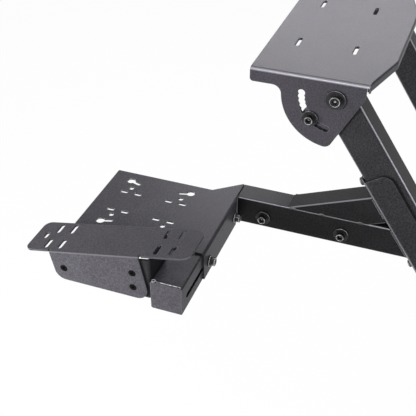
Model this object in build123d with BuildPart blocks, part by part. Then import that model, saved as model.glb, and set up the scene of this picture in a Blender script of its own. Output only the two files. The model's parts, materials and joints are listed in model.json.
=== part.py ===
"""Racing wheel stand with a tilting wheel deck and a side arm for a gear shifter and a handbrake.

The driver sits on the -Y side and faces +Y. +X is the driver's right and +Z is up.
The origin is on the floor, under the middle of the rear foot bar.
"""

import os
from math import atan2, cos, degrees, hypot, radians, sin, tan

from build123d import *

# Base frame
foot_bar_length = 560
foot_bar_size = 50
base_length = 650
bar_wall = 2
bar_corner = 3
cap_flange = 3
cap_plug = 10
cap_fit = 0.1

# Uprights
uprights_outside = 370
upright_width = 40
upright_depth = 55
upright_wall = 2
upright_corner = 4
upright_lean = 56
pivot_height = 662
pivot_setback = 237
upright_head_radius = 21

# Tube sections of the rails, the side arm and the light braces
rail_width = 40
rail_height = 50
strut_depth = 30
strut_foot = 480
strut_head_height = 300
tie_size = 40
tie_height = 240
gusset_thickness = 5
gusset_length = 120
gusset_height = 130
gusset_head = 44
gusset_drop = 35

# Wheel deck
deck_thickness = 4
deck_bend = 6
deck_rise = 30
deck_rear = 132
deck_front = 47
deck_lip = 12
lip_bend = 3
deck_flare_angle = 15.3
deck_flare_width = 88
deck_rear_skirt = 22
deck_gap = 0.5
flange_radius = 83
flange_tip = 12
flange_root = 14
flange_corner = 5
flange_front_setback = 4
flange_edge_angle = 62
tilt_radius = 52
tilt_forward = 32
tilt_back = 48
tilt_step = 8
tilt_lobe = 11.4
lock_angle = 225.7
lug_thickness = 6
lug_radius = 14
wheel_slots_x = 160
wheel_slots_y = 90
wheel_slot_length = 30
wheel_slot_width = 6.5

# Bolts
large_bolt = 10
large_head = 16
large_head_height = 6
large_washer = 30
bolt = 8
bolt_head = 13
bolt_head_height = 8
bolt_washer = 24
slide_washer = 17
washer_thickness = 2
socket_size = 0.54
socket_depth = 0.6
nut_size = 1.84
nut_height = 7
bolt_end = 3.5
hole_clearance = 0.5
seat_gap = 0.3

# Side arm
arm_drop = 212
arm_width = 40
arm_height = 50
arm_wall = 2.5
brace_angle = 21.5
brace_start = 86
bracket_thickness = 4
bracket_top = 142.5
bracket_tab = 7
bracket_length = 188
bracket_reach = 42
bracket_round = 15
bracket_bolt_top = 6.5
bracket_bolt_pitch = 168
arm_bolt_first = 46
arm_bolt_pitch = 132
arm_bolt_drop = 31

# Cross tube on the end of the side arm
cross_tube_reach = 246
cross_tube_setback = 148
cross_tube_size = 50
tube_slot_drop = 27
tube_slot_start = 16
tube_slot_end = 244
tube_slot_width = 9

# Shifter plate
plate_thickness = 3
plate_bend = 5
plate_near_gap = 83
plate_width = 163
plate_reach = 216
plate_skirt = 47
plate_skirt_end = 13
tab_length = 34.5
tab_width = 44
tab_tip = 1
slide_bolt_inset = 22
slide_bolt_pitch = 119
pattern_y = 128
slot_row = 26
slot_outer = 52
slot_inner = 27.5
plate_slot_length = 13.5
plate_slot_width = 6.4
small_hole_x = 39
small_hole_y = 44.5
small_hole = 8.5
key_x = 59
key_y = 54
key_head = 14
key_tail_x = 54
key_tail_y = 38
key_tail_width = 6.8

# Handbrake plate
hb_tilt = 11.8
hb_rise = 54.5
hb_width = 75
hb_edge_inset = 3.5
hb_rear = 266
hb_front = 11
hb_rear_corner = 12
hb_front_corner = 16
hb_fold_rear = 220
hb_fold_front = 69
hb_relief = 3
hb_relief_depth = 6
hb_fold = 2.7
hb_skirt_drop = 38.5
hb_skirt_corner = 18
hb_slot_length = 23
hb_slot_width = 7
hb_slot_inset = 21
hb_slot_rows = 38.5
hb_slot_columns = (-232, -207.5, -46.5, -22)
hb_small_slot_at = -247
hb_small_slot_length = 15
hb_screws = ((-192.3, -16.5), (-78, 7.8), (-78, -19.2))
screw = 6
screw_head = 12
screw_fit = 0.1
screw_length = 16
screw_nut_height = 5
screw_socket = 4.6
hb_bracket_thickness = 4
hb_bracket_width = 65
hb_bracket_drop = 35
hb_bracket_rear = 207
hb_bracket_clear = 4
hb_bracket_bolts = (-24, -49)

# Pedal plate
pedal_side_gap = 3
pedal_depth = 298
pedal_front_gap = 7
pedal_heel = 70
pedal_slope = 24
pedal_bar_size = 30
pedal_bend = 6
pedal_slot_length = 70
pedal_slot_width = 7
pedal_slot_columns = 5
pedal_slot_rows = 2
pedal_slot_pitch_x = 45
pedal_slot_pitch_y = 95

# Allowances: inside corners, holes that run past a face, and blanks longer than the finished tube
least_corner = 0.5
cut_past = 1
blank_end = 110

# Places worked out from the sizes above
side_x = uprights_outside / 2
upright_x = side_x - upright_width / 2
upright_inside = side_x - upright_width
rail_x = side_x - rail_width / 2
down = Vector(0, cos(radians(upright_lean)), -sin(radians(upright_lean)))
toward_driver = Vector(0, -sin(radians(upright_lean)), -cos(radians(upright_lean)))
pivot = Vector(0, -pivot_setback, pivot_height)
skirt_inside = side_x + deck_gap
skirt_outside = skirt_inside + deck_thickness
deck_top = pivot_height + deck_rise
arm_x = side_x - arm_width / 2
arm_top = pivot_height - arm_drop
tube_near_end = side_x + cross_tube_reach
tube_front_y = pivot.Y - cross_tube_setback
tube_rear_y = tube_front_y - cross_tube_size
web_face = upright_depth / 2 + bracket_thickness
plate_near_x = tube_near_end - plate_near_gap
plate_far_x = plate_near_x - plate_width
plate_middle_x = (plate_near_x + plate_far_x) / 2
plate_middle_y = tube_front_y - pattern_y
slot_z = arm_top - tube_slot_drop
slide_bolt_near = plate_near_x - slide_bolt_inset
slide_bolt_x = (slide_bolt_near, slide_bolt_near - slide_bolt_pitch)
lock_along = tilt_radius * cos(radians(lock_angle + upright_lean))
lock_toward = -tilt_radius * sin(radians(lock_angle + upright_lean))
slot_foot_along = tilt_radius * cos(radians(lock_angle + tilt_forward + upright_lean))
past_all = base_length + pivot_height


def on_upright(along, toward=0.0, x=0.0):
    """A point measured down an upright from the pivot, and from its middle toward the driver."""
    return pivot + down * along + toward_driver * toward + Vector(x, 0, 0)


def side_view(x):
    """A plane seen from the right at one X: its own axes are Y and Z, measured from the deck pivot."""
    return Plane(origin=(x, pivot.Y, pivot.Z), x_dir=(0, 1, 0), z_dir=(1, 0, 0))


def flat(vector):
    """The Y and Z of a vector as a point on a side view."""
    return Vector(vector.Y, vector.Z)


def polar_point(radius, angle):
    """A point on a side view at an angle up from the forward direction."""
    return Vector(cos(radians(angle)), sin(radians(angle))) * radius


def on_web(along):
    """A plane on the driver's face of the arm bracket, facing out of it."""
    return Plane(origin=on_upright(along, web_face, upright_x), x_dir=(1, 0, 0), z_dir=toward_driver)


def tube_section(width, height, wall, corner):
    """The hollow section of a square or oblong tube, in the sketch that is open."""
    RectangleRounded(width, height, corner)
    inside_corner = max(corner - wall, least_corner)
    RectangleRounded(width - 2 * wall, height - 2 * wall, inside_corner, mode=Mode.SUBTRACT)


def add_disc(plane, diameter, depth, mode=Mode.ADD):
    """A round stud or hole that starts on the plane and runs along its normal, or against it if negative."""
    with BuildSketch(plane) as outline:
        Circle(diameter / 2)
    extrude(outline.sketch, amount=depth, mode=mode)


def add_hexagon(plane, across_corners, depth, mode=Mode.ADD):
    """A nut, or the socket of a bolt head when it is cut away."""
    with BuildSketch(plane) as outline:
        RegularPolygon(across_corners / 2, 6)
    extrude(outline.sketch, amount=depth, mode=mode)


def cut_hole(plane, diameter, depth):
    """A clearance hole that starts on the plane and runs along its normal."""
    add_disc(plane, diameter, depth, Mode.SUBTRACT)


def add_bolt(seat, size, head, head_height, washer, shank, nut_at=None):
    """A socket head bolt: the seat plane faces out of the surface that the washer lies on."""
    add_disc(seat, washer, washer_thickness)
    add_disc(seat.offset(washer_thickness), head, head_height)
    head_top = seat.offset(washer_thickness + head_height)
    add_hexagon(head_top, head * socket_size, -head_height * socket_depth, Mode.SUBTRACT)
    add_disc(seat, size, -shank)
    if nut_at is not None:
        add_hexagon(seat.offset(-nut_at), size * nut_size, -nut_height)


def add_cap(end, tube_size, wall):
    """A square cap on the end of a tube: a flange outside and a plug that goes in."""
    plug = tube_size - 2 * (wall + cap_fit)
    with BuildSketch(end) as flange_face:
        RectangleRounded(tube_size, tube_size, bar_corner)
    extrude(flange_face.sketch, amount=cap_flange)
    with BuildSketch(end) as plug_face:
        RectangleRounded(plug, plug, bar_corner - wall + least_corner)
    extrude(plug_face.sketch, amount=-cap_plug)


def save(part, name):
    """Label one finished piece and write it."""
    part.label = name
    export_step(part, f"parts/{name}.step")


os.makedirs("parts", exist_ok=True)

# Foot bars lie on the floor across the driver's feet
for name, bar_y in (("rear", 0), ("front", base_length)):
    with BuildPart() as foot_bar:
        bar_start = Vector(-foot_bar_length / 2, bar_y, foot_bar_size / 2)
        with BuildSketch(Plane(origin=bar_start, x_dir=(0, 1, 0), z_dir=(1, 0, 0))):
            tube_section(foot_bar_size, foot_bar_size, bar_wall, bar_corner)
        extrude(amount=foot_bar_length)
    save(foot_bar.part, f"{name}_foot_bar")

    with BuildPart() as bar_caps:
        for side in (-1, 1):
            bar_end = Vector(side * foot_bar_length / 2, bar_y, foot_bar_size / 2)
            add_cap(Plane(origin=bar_end, x_dir=(0, 1, 0), z_dir=(side, 0, 0)), foot_bar_size, bar_wall)
    save(bar_caps.part, f"{name}_bar_caps")

# Side rails run between the foot bars
rail_start = foot_bar_size / 2
rail_end = base_length - foot_bar_size / 2
for name, side in (("left", -1), ("right", 1)):
    with BuildPart() as rail:
        rail_at = Vector(side * rail_x, rail_start, rail_height / 2)
        with BuildSketch(Plane(origin=rail_at, x_dir=(1, 0, 0), z_dir=(0, 1, 0))):
            tube_section(rail_width, rail_height, bar_wall, bar_corner)
        extrude(amount=rail_end - rail_start)
    save(rail.part, f"{name}_rail")

# Uprights lean back toward the driver and are rounded at the head to clear the tilting deck
upright_foot = (pivot_height - rail_height) / sin(radians(upright_lean))
fall = pivot_height - rail_height
front_turn = radians(90 - tilt_forward)
rear_turn = radians(90 + tilt_back)
front_point = Vector(cos(front_turn), sin(front_turn)) * upright_head_radius
rear_point = Vector(cos(rear_turn), sin(rear_turn)) * upright_head_radius
front_out = front_point + Vector(sin(front_turn), -cos(front_turn)) * upright_depth
rear_out = rear_point + Vector(-sin(rear_turn), cos(rear_turn)) * upright_depth
bracket_bolts = (bracket_top + bracket_bolt_top, bracket_top + bracket_bolt_top + bracket_bolt_pitch)
for name, side in (("left", -1), ("right", 1)):
    with BuildPart() as upright:
        blank_start = on_upright(-blank_end, x=side * upright_x)
        with BuildSketch(Plane(origin=blank_start, x_dir=(1, 0, 0), z_dir=down)):
            tube_section(upright_width, upright_depth, upright_wall, upright_corner)
        extrude(amount=upright_foot + 2 * blank_end)
        with BuildSketch(side_view(side * upright_x)):
            with BuildLine():
                Line(front_out, front_point)
                RadiusArc(front_point, rear_point, -upright_head_radius)
                Polyline(rear_point, rear_out, (rear_out.X, -fall), (fall, -fall), front_out)
            make_face()
        extrude(amount=upright_width, both=True, mode=Mode.INTERSECT)
        hole_start = min(side * side_x, side * upright_inside) - cut_past
        cut_hole(side_view(hole_start), large_bolt + hole_clearance, upright_width + 2 * cut_past)
        if side == 1:
            for along in bracket_bolts:
                cut_hole(on_web(along), bolt + hole_clearance, -bracket_thickness - 2 * upright_wall)
    save(upright.part, f"{name}_upright")

    with BuildPart() as lock_lug:
        lug_start = min(side * side_x, side * (side_x - lug_thickness))
        with BuildSketch(side_view(lug_start)):
            with BuildLine():
                for turn in (0, tilt_forward):
                    CenterArc(polar_point(tilt_radius, lock_angle + turn), lug_radius, 0, 360)
                Line(
                    flat(on_upright(lock_along - lug_radius, upright_depth / 2) - pivot),
                    flat(on_upright(slot_foot_along + lug_radius, upright_depth / 2) - pivot),
                )
            make_hull()
            with BuildLine():
                Polyline(
                    flat(on_upright(-blank_end, upright_depth / 2) - pivot),
                    flat(on_upright(blank_end, upright_depth / 2) - pivot),
                    flat(on_upright(blank_end, -upright_depth / 2) - pivot),
                    flat(on_upright(-blank_end, -upright_depth / 2) - pivot),
                    close=True,
                )
            make_face(mode=Mode.SUBTRACT)
            with Locations(polar_point(tilt_radius, lock_angle)):
                Circle((bolt + hole_clearance) / 2, mode=Mode.SUBTRACT)
        extrude(amount=lug_thickness)
    save(lock_lug.part, f"{name}_lock_lug")

# Struts and gussets hold the feet of the uprights
strut_head = on_upright((pivot_height - strut_head_height) / sin(radians(upright_lean)), -upright_depth / 2)
strut_run = hypot(strut_foot - strut_head.Y, strut_head_height - rail_height)
strut_along = Vector(0, strut_head.Y - strut_foot, strut_head_height - rail_height).normalized()
for name, side in (("left", -1), ("right", 1)):
    with BuildPart() as strut:
        blank_start = Vector(side * upright_x, strut_foot, rail_height) - strut_along * blank_end
        with BuildSketch(Plane(origin=blank_start, x_dir=(1, 0, 0), z_dir=strut_along)):
            tube_section(rail_width, strut_depth, bar_wall, bar_corner)
        extrude(amount=strut_run + 2 * blank_end)
        with BuildSketch(side_view(side * upright_x)):
            with BuildLine():
                front_top = flat(on_upright(0, -upright_depth / 2) - pivot)
                foot_along = upright_foot + upright_depth / 2 / tan(radians(upright_lean))
                front_foot = flat(on_upright(foot_along, -upright_depth / 2) - pivot)
                Polyline(front_top, front_foot, (past_all, -fall), (past_all, 0), close=True)
            make_face()
        extrude(amount=rail_width, both=True, mode=Mode.INTERSECT)
    save(strut.part, f"{name}_strut")

    with BuildPart() as gusset:
        gusset_start = min(side * side_x, side * (side_x + gusset_thickness))
        foot_y = on_upright(upright_foot).Y - pivot.Y
        with BuildSketch(side_view(gusset_start)):
            with BuildLine():
                gusset_top = flat(on_upright(upright_foot - gusset_height) - pivot)
                Polyline(
                    (foot_y - gusset_length / 2, -fall - gusset_drop),
                    (foot_y + gusset_length / 2, -fall - gusset_drop),
                    (foot_y + gusset_length / 2, -fall),
                    gusset_top + Vector(gusset_head / 2, 0),
                    gusset_top - Vector(gusset_head / 2, 0),
                    (foot_y - gusset_length / 2, -fall),
                    close=True,
                )
            make_face()
            fillet(vertices(), gusset_thickness)
        extrude(amount=gusset_thickness)
    save(gusset.part, f"{name}_foot_gusset")

with BuildPart() as upright_tie:
    tie_middle = on_upright((pivot_height - tie_height) / sin(radians(upright_lean)), x=-upright_inside)
    with BuildSketch(Plane(origin=tie_middle, x_dir=toward_driver, z_dir=(1, 0, 0))):
        tube_section(tie_size, tie_size, bar_wall, bar_corner)
    extrude(amount=2 * upright_inside)
save(upright_tie.part, "upright_tie")

# Wheel deck: one folded sheet, its side skirts hang outside the uprights and carry the tilt slots
deck_underside = deck_rise - deck_thickness
skirt_floor = deck_rise - deck_rear_skirt
edge_way = Vector(cos(radians(flange_edge_angle)), sin(radians(flange_edge_angle)))
edge_top = Vector(deck_front - flange_front_setback, skirt_floor)
tip_centre_radius = flange_radius - flange_tip
edge_normal = Vector(edge_way.Y, -edge_way.X)
tip_offset = edge_top.dot(edge_normal) - flange_tip
tip_along = -(tip_centre_radius**2 - tip_offset**2) ** 0.5
tip_centre = edge_normal * tip_offset + edge_way * tip_along
tip_on_arc = tip_centre.normalized() * flange_radius
tip_on_edge = tip_centre + edge_normal * flange_tip
root_centre_x = -(((flange_radius + flange_root) ** 2 - (skirt_floor - flange_root) ** 2) ** 0.5)
root_centre = Vector(root_centre_x, skirt_floor - flange_root)
root_on_floor = root_centre + Vector(0, flange_root)
root_on_arc = root_centre.normalized() * flange_radius
with BuildPart() as wheel_deck:
    with BuildSketch(Plane(origin=(0, pivot.Y - deck_rear, pivot.Z), x_dir=(-1, 0, 0), z_dir=(0, 1, 0))):
        with Locations((0, deck_rise)):
            Rectangle(2 * skirt_outside, deck_rise + flange_radius, align=(Align.CENTER, Align.MAX))
        fillet(vertices().group_by(Axis.Y)[-1], deck_bend)
        with BuildSketch(mode=Mode.PRIVATE) as hollow:
            with Locations((0, deck_underside)):
                Rectangle(2 * skirt_inside, 2 * deck_rise + flange_radius, align=(Align.CENTER, Align.MAX))
            fillet(vertices().group_by(Axis.Y)[-1], deck_bend - deck_thickness)
        add(hollow.sketch, mode=Mode.SUBTRACT)
    extrude(amount=deck_rear + deck_front)
    with BuildSketch(side_view(0)):
        with BuildLine():
            Polyline(root_on_floor, (flange_corner - deck_rear, skirt_floor))
            rear_corner = (-deck_rear, skirt_floor + flange_corner)
            RadiusArc((flange_corner - deck_rear, skirt_floor), rear_corner, flange_corner)
            Polyline(
                rear_corner,
                (-deck_rear, deck_rise),
                (deck_front, deck_rise),
                (deck_front, deck_underside),
                (edge_top.X, deck_underside),
                edge_top,
                tip_on_edge,
            )
            RadiusArc(tip_on_edge, tip_on_arc, flange_tip)
            RadiusArc(tip_on_arc, root_on_arc, flange_radius)
            RadiusArc(root_on_arc, root_on_floor, -flange_root)
        make_face()
    extrude(amount=uprights_outside, both=True, mode=Mode.INTERSECT)
    flare_corner = skirt_outside - deck_bend
    flare_middle = flare_corner - deck_flare_width
    flare = deck_flare_width * tan(radians(deck_flare_angle))
    deck_front_line = Plane(origin=(0, pivot.Y + deck_front, deck_top))
    with BuildPart(mode=Mode.PRIVATE) as front_lip:
        with BuildSketch(deck_front_line):
            with BuildLine():
                Polyline(
                    (-flare_corner, -deck_bend),
                    (-flare_corner, 0),
                    (-flare_middle, flare),
                    (flare_middle, flare),
                    (flare_corner, 0),
                    (flare_corner, -deck_bend),
                    close=True,
                )
            make_face()
        extrude(amount=-deck_lip)
        on_top = edges().group_by(Axis.Z)[-1]
        fillet(on_top.filter_by(lambda edge: edge.center().Y > pivot.Y + deck_front), lip_bend)
        with BuildSketch(deck_front_line.offset(-deck_thickness)):
            with BuildLine():
                Polyline(
                    (-flare_corner, -2 * deck_bend),
                    (-flare_corner, -deck_thickness),
                    (-flare_middle, flare - deck_thickness),
                    (flare_middle, flare - deck_thickness),
                    (flare_corner, -deck_thickness),
                    (flare_corner, -2 * deck_bend),
                    close=True,
                )
            make_face()
        extrude(amount=-deck_lip, mode=Mode.SUBTRACT)
    add(front_lip.part)
    with BuildSketch(side_view(-skirt_outside - cut_past)):
        Circle((large_bolt + hole_clearance) / 2)
        with PolarLocations(
            tilt_radius,
            round((tilt_forward + tilt_back) / tilt_step) + 1,
            start_angle=lock_angle - tilt_back,
            angular_range=tilt_forward + tilt_back,
            endpoint=True,
        ):
            Circle(tilt_lobe / 2)
    extrude(amount=2 * (skirt_outside + cut_past), mode=Mode.SUBTRACT)
    with BuildSketch(Plane.XY.offset(deck_top)):
        with Locations((0, pivot.Y + (deck_front - deck_rear) / 2)):
            with GridLocations(wheel_slots_x, wheel_slots_y, 2, 2):
                SlotOverall(wheel_slot_length, wheel_slot_width)
    extrude(amount=-deck_thickness, mode=Mode.SUBTRACT)
save(wheel_deck.part, "wheel_deck")

# Bolts that the deck turns and locks on
with BuildPart() as pivot_bolts:
    for side in (-1, 1):
        seat_at = pivot + Vector(side * (skirt_outside + seat_gap), 0, 0)
        seat = Plane(origin=seat_at, x_dir=(0, 1, 0), z_dir=(side, 0, 0))
        grip = deck_thickness + deck_gap + seat_gap + upright_width
        shank = grip + nut_height + bolt_end
        add_bolt(seat, large_bolt, large_head, large_head_height, large_washer, shank, grip)
save(pivot_bolts.part, "pivot_bolts")

with BuildPart() as lock_bolts:
    for side in (-1, 1):
        seat_at = on_upright(lock_along, lock_toward, side * (skirt_outside + seat_gap))
        seat = Plane(origin=seat_at, x_dir=(0, 1, 0), z_dir=(side, 0, 0))
        grip = deck_thickness + deck_gap + seat_gap + lug_thickness
        add_bolt(seat, bolt, bolt_head, bolt_head_height, bolt_washer, grip + nut_height + bolt_end, grip)
save(lock_bolts.part, "lock_bolts")

# Arm bracket: a channel that wraps the driver's face of the right upright
half_depth = upright_depth / 2
with BuildPart() as arm_bracket:
    channel_end = on_upright(bracket_top - bracket_tab, x=upright_x)
    channel_width = upright_width + 2 * bracket_thickness
    with BuildSketch(Plane(origin=channel_end, x_dir=(1, 0, 0), z_dir=down)):
        with Locations((0, web_face)):
            Rectangle(channel_width, bracket_reach + bracket_thickness, align=(Align.CENTER, Align.MAX))
        fillet(vertices().group_by(Axis.Y)[-1], upright_corner + bracket_thickness)
        with BuildSketch(mode=Mode.PRIVATE) as channel_inside:
            with Locations((0, half_depth)):
                Rectangle(upright_width, upright_depth, align=(Align.CENTER, Align.MAX))
            fillet(vertices().group_by(Axis.Y)[-1], upright_corner)
        add(channel_inside.sketch, mode=Mode.SUBTRACT)
    extrude(amount=bracket_length + bracket_tab)
    edge_x = half_depth - bracket_reach
    outline_plane = Plane(origin=on_upright(0, x=upright_x), x_dir=down, z_dir=(-1, 0, 0))
    with BuildSketch(outline_plane):
        with Locations((bracket_top + bracket_length / 2, edge_x)):
            Rectangle(bracket_length, 2 * bracket_reach, align=(Align.CENTER, Align.MIN))
        fillet(vertices().group_by(Axis.Y)[0], bracket_round)
        with Locations((bracket_top - bracket_tab, half_depth)):
            Rectangle(2 * bracket_tab, 2 * bracket_thickness, align=(Align.MIN, Align.MIN))
    extrude(amount=upright_width, both=True, mode=Mode.INTERSECT)
    for along in bracket_bolts:
        cut_hole(on_web(along), bolt + hole_clearance, -bracket_thickness)
save(arm_bracket.part, "arm_bracket")

with BuildPart() as bracket_bolt_set:
    for along in bracket_bolts:
        shank = bracket_thickness + upright_wall + nut_height
        add_bolt(on_web(along), bolt, bolt_head, bolt_head_height, slide_washer, shank)
save(bracket_bolt_set.part, "bracket_bolts")

# Side arm and the brace above it, both cut to the slope of the bracket's web
web_top = flat(on_upright(0, web_face) - pivot)
web_foot = flat(on_upright(upright_foot, web_face) - pivot)
with BuildPart() as side_arm:
    arm_start = Vector(arm_x, tube_front_y, arm_top - arm_height / 2)
    with BuildSketch(Plane(origin=arm_start, x_dir=(1, 0, 0), z_dir=(0, 1, 0))):
        tube_section(arm_width, arm_height, arm_wall, bar_corner)
    extrude(amount=past_all)
    with BuildSketch(side_view(arm_x)):
        with BuildLine():
            Polyline(web_top, web_foot, (-past_all, web_foot.Y), (-past_all, web_top.Y), close=True)
        make_face()
    extrude(amount=arm_width, both=True, mode=Mode.INTERSECT)
    for step in (0, arm_bolt_pitch):
        hole_at = Vector(side_x + cut_past, tube_front_y + arm_bolt_first + step, arm_top - arm_bolt_drop)
        hole_plane = Plane(origin=hole_at, x_dir=(0, 1, 0), z_dir=(-1, 0, 0))
        cut_hole(hole_plane, bolt + hole_clearance, arm_width + 2 * cut_past)
save(side_arm.part, "side_arm")

with BuildPart() as arm_brace:
    brace_way = Vector(0, cos(radians(brace_angle)), sin(radians(brace_angle)))
    brace_top = Vector(arm_x, tube_front_y + brace_start, arm_top)
    brace_up = Vector(0, -brace_way.Z, brace_way.Y)
    blank_start = brace_top - brace_up * arm_height / 2 - brace_way * blank_end
    with BuildSketch(Plane(origin=blank_start, x_dir=(1, 0, 0), z_dir=brace_way)):
        tube_section(arm_width, arm_height, arm_wall, bar_corner)
    extrude(amount=past_all)
    with BuildSketch(side_view(arm_x)):
        with BuildLine():
            arm_line = arm_top - pivot_height
            slope = (web_foot.X - web_top.X) / (web_foot.Y - web_top.Y)
            web_on_arm = (web_top.X + slope * (arm_line - web_top.Y), arm_line)
            Polyline(web_top, web_on_arm, (-past_all, arm_line), (-past_all, web_top.Y), close=True)
        make_face()
    extrude(amount=arm_width, both=True, mode=Mode.INTERSECT)
save(arm_brace.part, "arm_brace")

with BuildPart() as arm_bolts:
    for step in (0, arm_bolt_pitch):
        seat_at = Vector(side_x, tube_front_y + arm_bolt_first + step, arm_top - arm_bolt_drop)
        seat = Plane(origin=seat_at, x_dir=(0, 1, 0), z_dir=(1, 0, 0))
        shank = arm_width + nut_height + bolt_end
        add_bolt(seat, bolt, bolt_head, bolt_head_height, bolt_washer, shank, arm_width)
save(arm_bolts.part, "arm_bolts")

# Cross tube on the end of the arm, with a long slot in its front face
cross_tube_length = cross_tube_reach + arm_width - 2 * cap_flange
cross_tube_far = tube_near_end - cap_flange - cross_tube_length
cross_tube_middle = Vector(cross_tube_far, (tube_front_y + tube_rear_y) / 2, arm_top - cross_tube_size / 2)
with BuildPart() as cross_tube:
    with BuildSketch(Plane(origin=cross_tube_middle, x_dir=(0, 1, 0), z_dir=(1, 0, 0))):
        tube_section(cross_tube_size, cross_tube_size, arm_wall, bar_corner)
    extrude(amount=cross_tube_length)
    with BuildSketch(Plane(origin=(tube_near_end, tube_front_y, slot_z), x_dir=(-1, 0, 0), z_dir=(0, 1, 0))):
        with Locations(((tube_slot_start + tube_slot_end) / 2, 0)):
            SlotOverall(tube_slot_end - tube_slot_start, tube_slot_width)
    extrude(amount=-arm_wall, mode=Mode.SUBTRACT)
    for inset in hb_bracket_bolts:
        hole_at = Vector(tube_near_end + inset, tube_rear_y, arm_top - cross_tube_size / 2)
        cut_hole(Plane(origin=hole_at, x_dir=(1, 0, 0), z_dir=(0, 1, 0)), bolt + hole_clearance, arm_wall)
save(cross_tube.part, "cross_tube")

with BuildPart() as cross_tube_caps:
    for end_x, side in ((tube_near_end - cap_flange, 1), (cross_tube_far, -1)):
        tube_end = Vector(end_x, cross_tube_middle.Y, cross_tube_middle.Z)
        add_cap(Plane(origin=tube_end, x_dir=(0, 1, 0), z_dir=(side, 0, 0)), cross_tube_size, arm_wall)
save(cross_tube_caps.part, "cross_tube_caps")

# Shifter plate: folded over the cross tube's front edge and drilled for a shifter
with BuildPart() as shifter_plate:
    with BuildSketch(Plane(origin=(plate_far_x, tube_front_y, arm_top), x_dir=(0, 1, 0), z_dir=(1, 0, 0))):
        with Locations((plate_thickness, plate_thickness)):
            sheet_reach = plate_reach + plate_thickness
            Rectangle(sheet_reach, plate_skirt + plate_thickness, align=(Align.MAX, Align.MAX))
        fillet(vertices().sort_by(lambda v: v.Y + v.Z)[-1], plate_bend)
        with BuildSketch(mode=Mode.PRIVATE) as below:
            Rectangle(2 * plate_reach, 2 * plate_skirt, align=(Align.MAX, Align.MAX))
            fillet(vertices().sort_by(lambda v: v.X + v.Y)[-1], plate_bend - plate_thickness)
        add(below.sketch, mode=Mode.SUBTRACT)
    extrude(amount=plate_width)
    with BuildSketch(Plane(origin=(plate_far_x, tube_front_y, arm_top))):
        with BuildLine():
            Polyline((0, 0), (0, -tab_width), (-tab_length, -tab_tip), (-tab_length, 0), close=True)
        make_face()
    extrude(amount=plate_thickness)
    with BuildSketch(Plane.XZ.offset(-tube_front_y - plate_thickness)):
        with Locations((plate_far_x, arm_top)):
            Rectangle(plate_skirt_end, 2 * plate_skirt, align=(Align.MIN, Align.MAX))
    extrude(amount=plate_thickness, mode=Mode.SUBTRACT)
    with BuildSketch(Plane(origin=(plate_middle_x, plate_middle_y, arm_top))):
        for side_of_x in (-1, 1):
            for side_of_y in (-1, 1):
                for slot_y in (slot_inner, slot_outer):
                    with Locations((side_of_x * slot_row, side_of_y * slot_y)):
                        SlotOverall(plate_slot_length, plate_slot_width, rotation=90)
                with Locations((side_of_x * small_hole_x, side_of_y * small_hole_y)):
                    Circle(small_hole / 2)
                head_at = Vector(side_of_x * key_x, side_of_y * key_y)
                tail_at = Vector(side_of_x * key_tail_x, side_of_y * key_tail_y)
                with Locations(head_at):
                    Circle(key_head / 2)
                tail = tail_at - head_at
                with Locations(Location((head_at + tail_at) / 2, (0, 0, degrees(atan2(tail.Y, tail.X))))):
                    SlotCenterToCenter(tail.length, key_tail_width)
    extrude(amount=plate_thickness, mode=Mode.SUBTRACT)
    for bolt_x in slide_bolt_x:
        hole_at = Vector(bolt_x, tube_front_y, slot_z)
        hole_plane = Plane(origin=hole_at, x_dir=(1, 0, 0), z_dir=(0, 1, 0))
        cut_hole(hole_plane, bolt + hole_clearance, plate_thickness)
save(shifter_plate.part, "shifter_plate")

# Slide bolts go with the shifter plate, through the slot of the cross tube
with BuildPart() as slide_bolts:
    for bolt_x in slide_bolt_x:
        seat_at = Vector(bolt_x, tube_front_y + plate_thickness, slot_z)
        seat = Plane(origin=seat_at, x_dir=(1, 0, 0), z_dir=(0, 1, 0))
        grip = plate_thickness + arm_wall + seat_gap
        add_bolt(seat, bolt, bolt_head, bolt_head_height, slide_washer, grip + nut_height + bolt_end, grip)
save(slide_bolts.part, "slide_bolts")

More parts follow.
